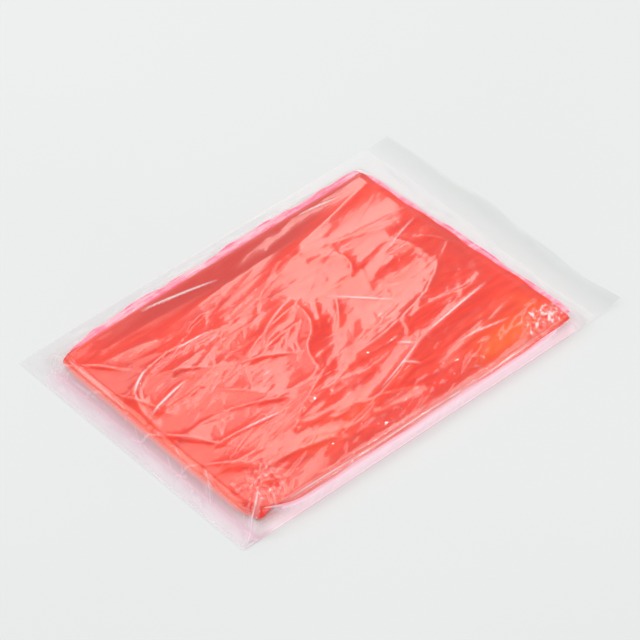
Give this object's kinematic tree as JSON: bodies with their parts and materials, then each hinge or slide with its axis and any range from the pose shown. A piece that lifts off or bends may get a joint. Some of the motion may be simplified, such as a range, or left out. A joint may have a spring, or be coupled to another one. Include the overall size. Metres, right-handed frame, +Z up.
{
  "type": "folded rain poncho in a clear packet",
  "caption": "Rain poncho of translucent red plastic film, folded into a flat pack and lying in a clear film packet with an open mouth and a lip.",
  "frame": {"origin": "under the middle of the packet, on the surface that it lies on", "axes": "+X along the packet from its sealed end to its mouth, +Y across it to the far long side, +Z up"},
  "size_m": [0.26, 0.1752, 0.0161],
  "materials": {
    "red_film": "glossy, slightly translucent red film, finely creased",
    "red_leaf": "the same red film in one or two layers, see-through at its edges",
    "clear_film": "clear glossy film with sharp creases"
  },
  "bodies": {
    "root": {"packet_back": "clear_film", "front_panel": "red_leaf", "folded_layers": "red_film", "back_panel": "red_film", "packet_front": "clear_film"}
  },
  "joints": []
}
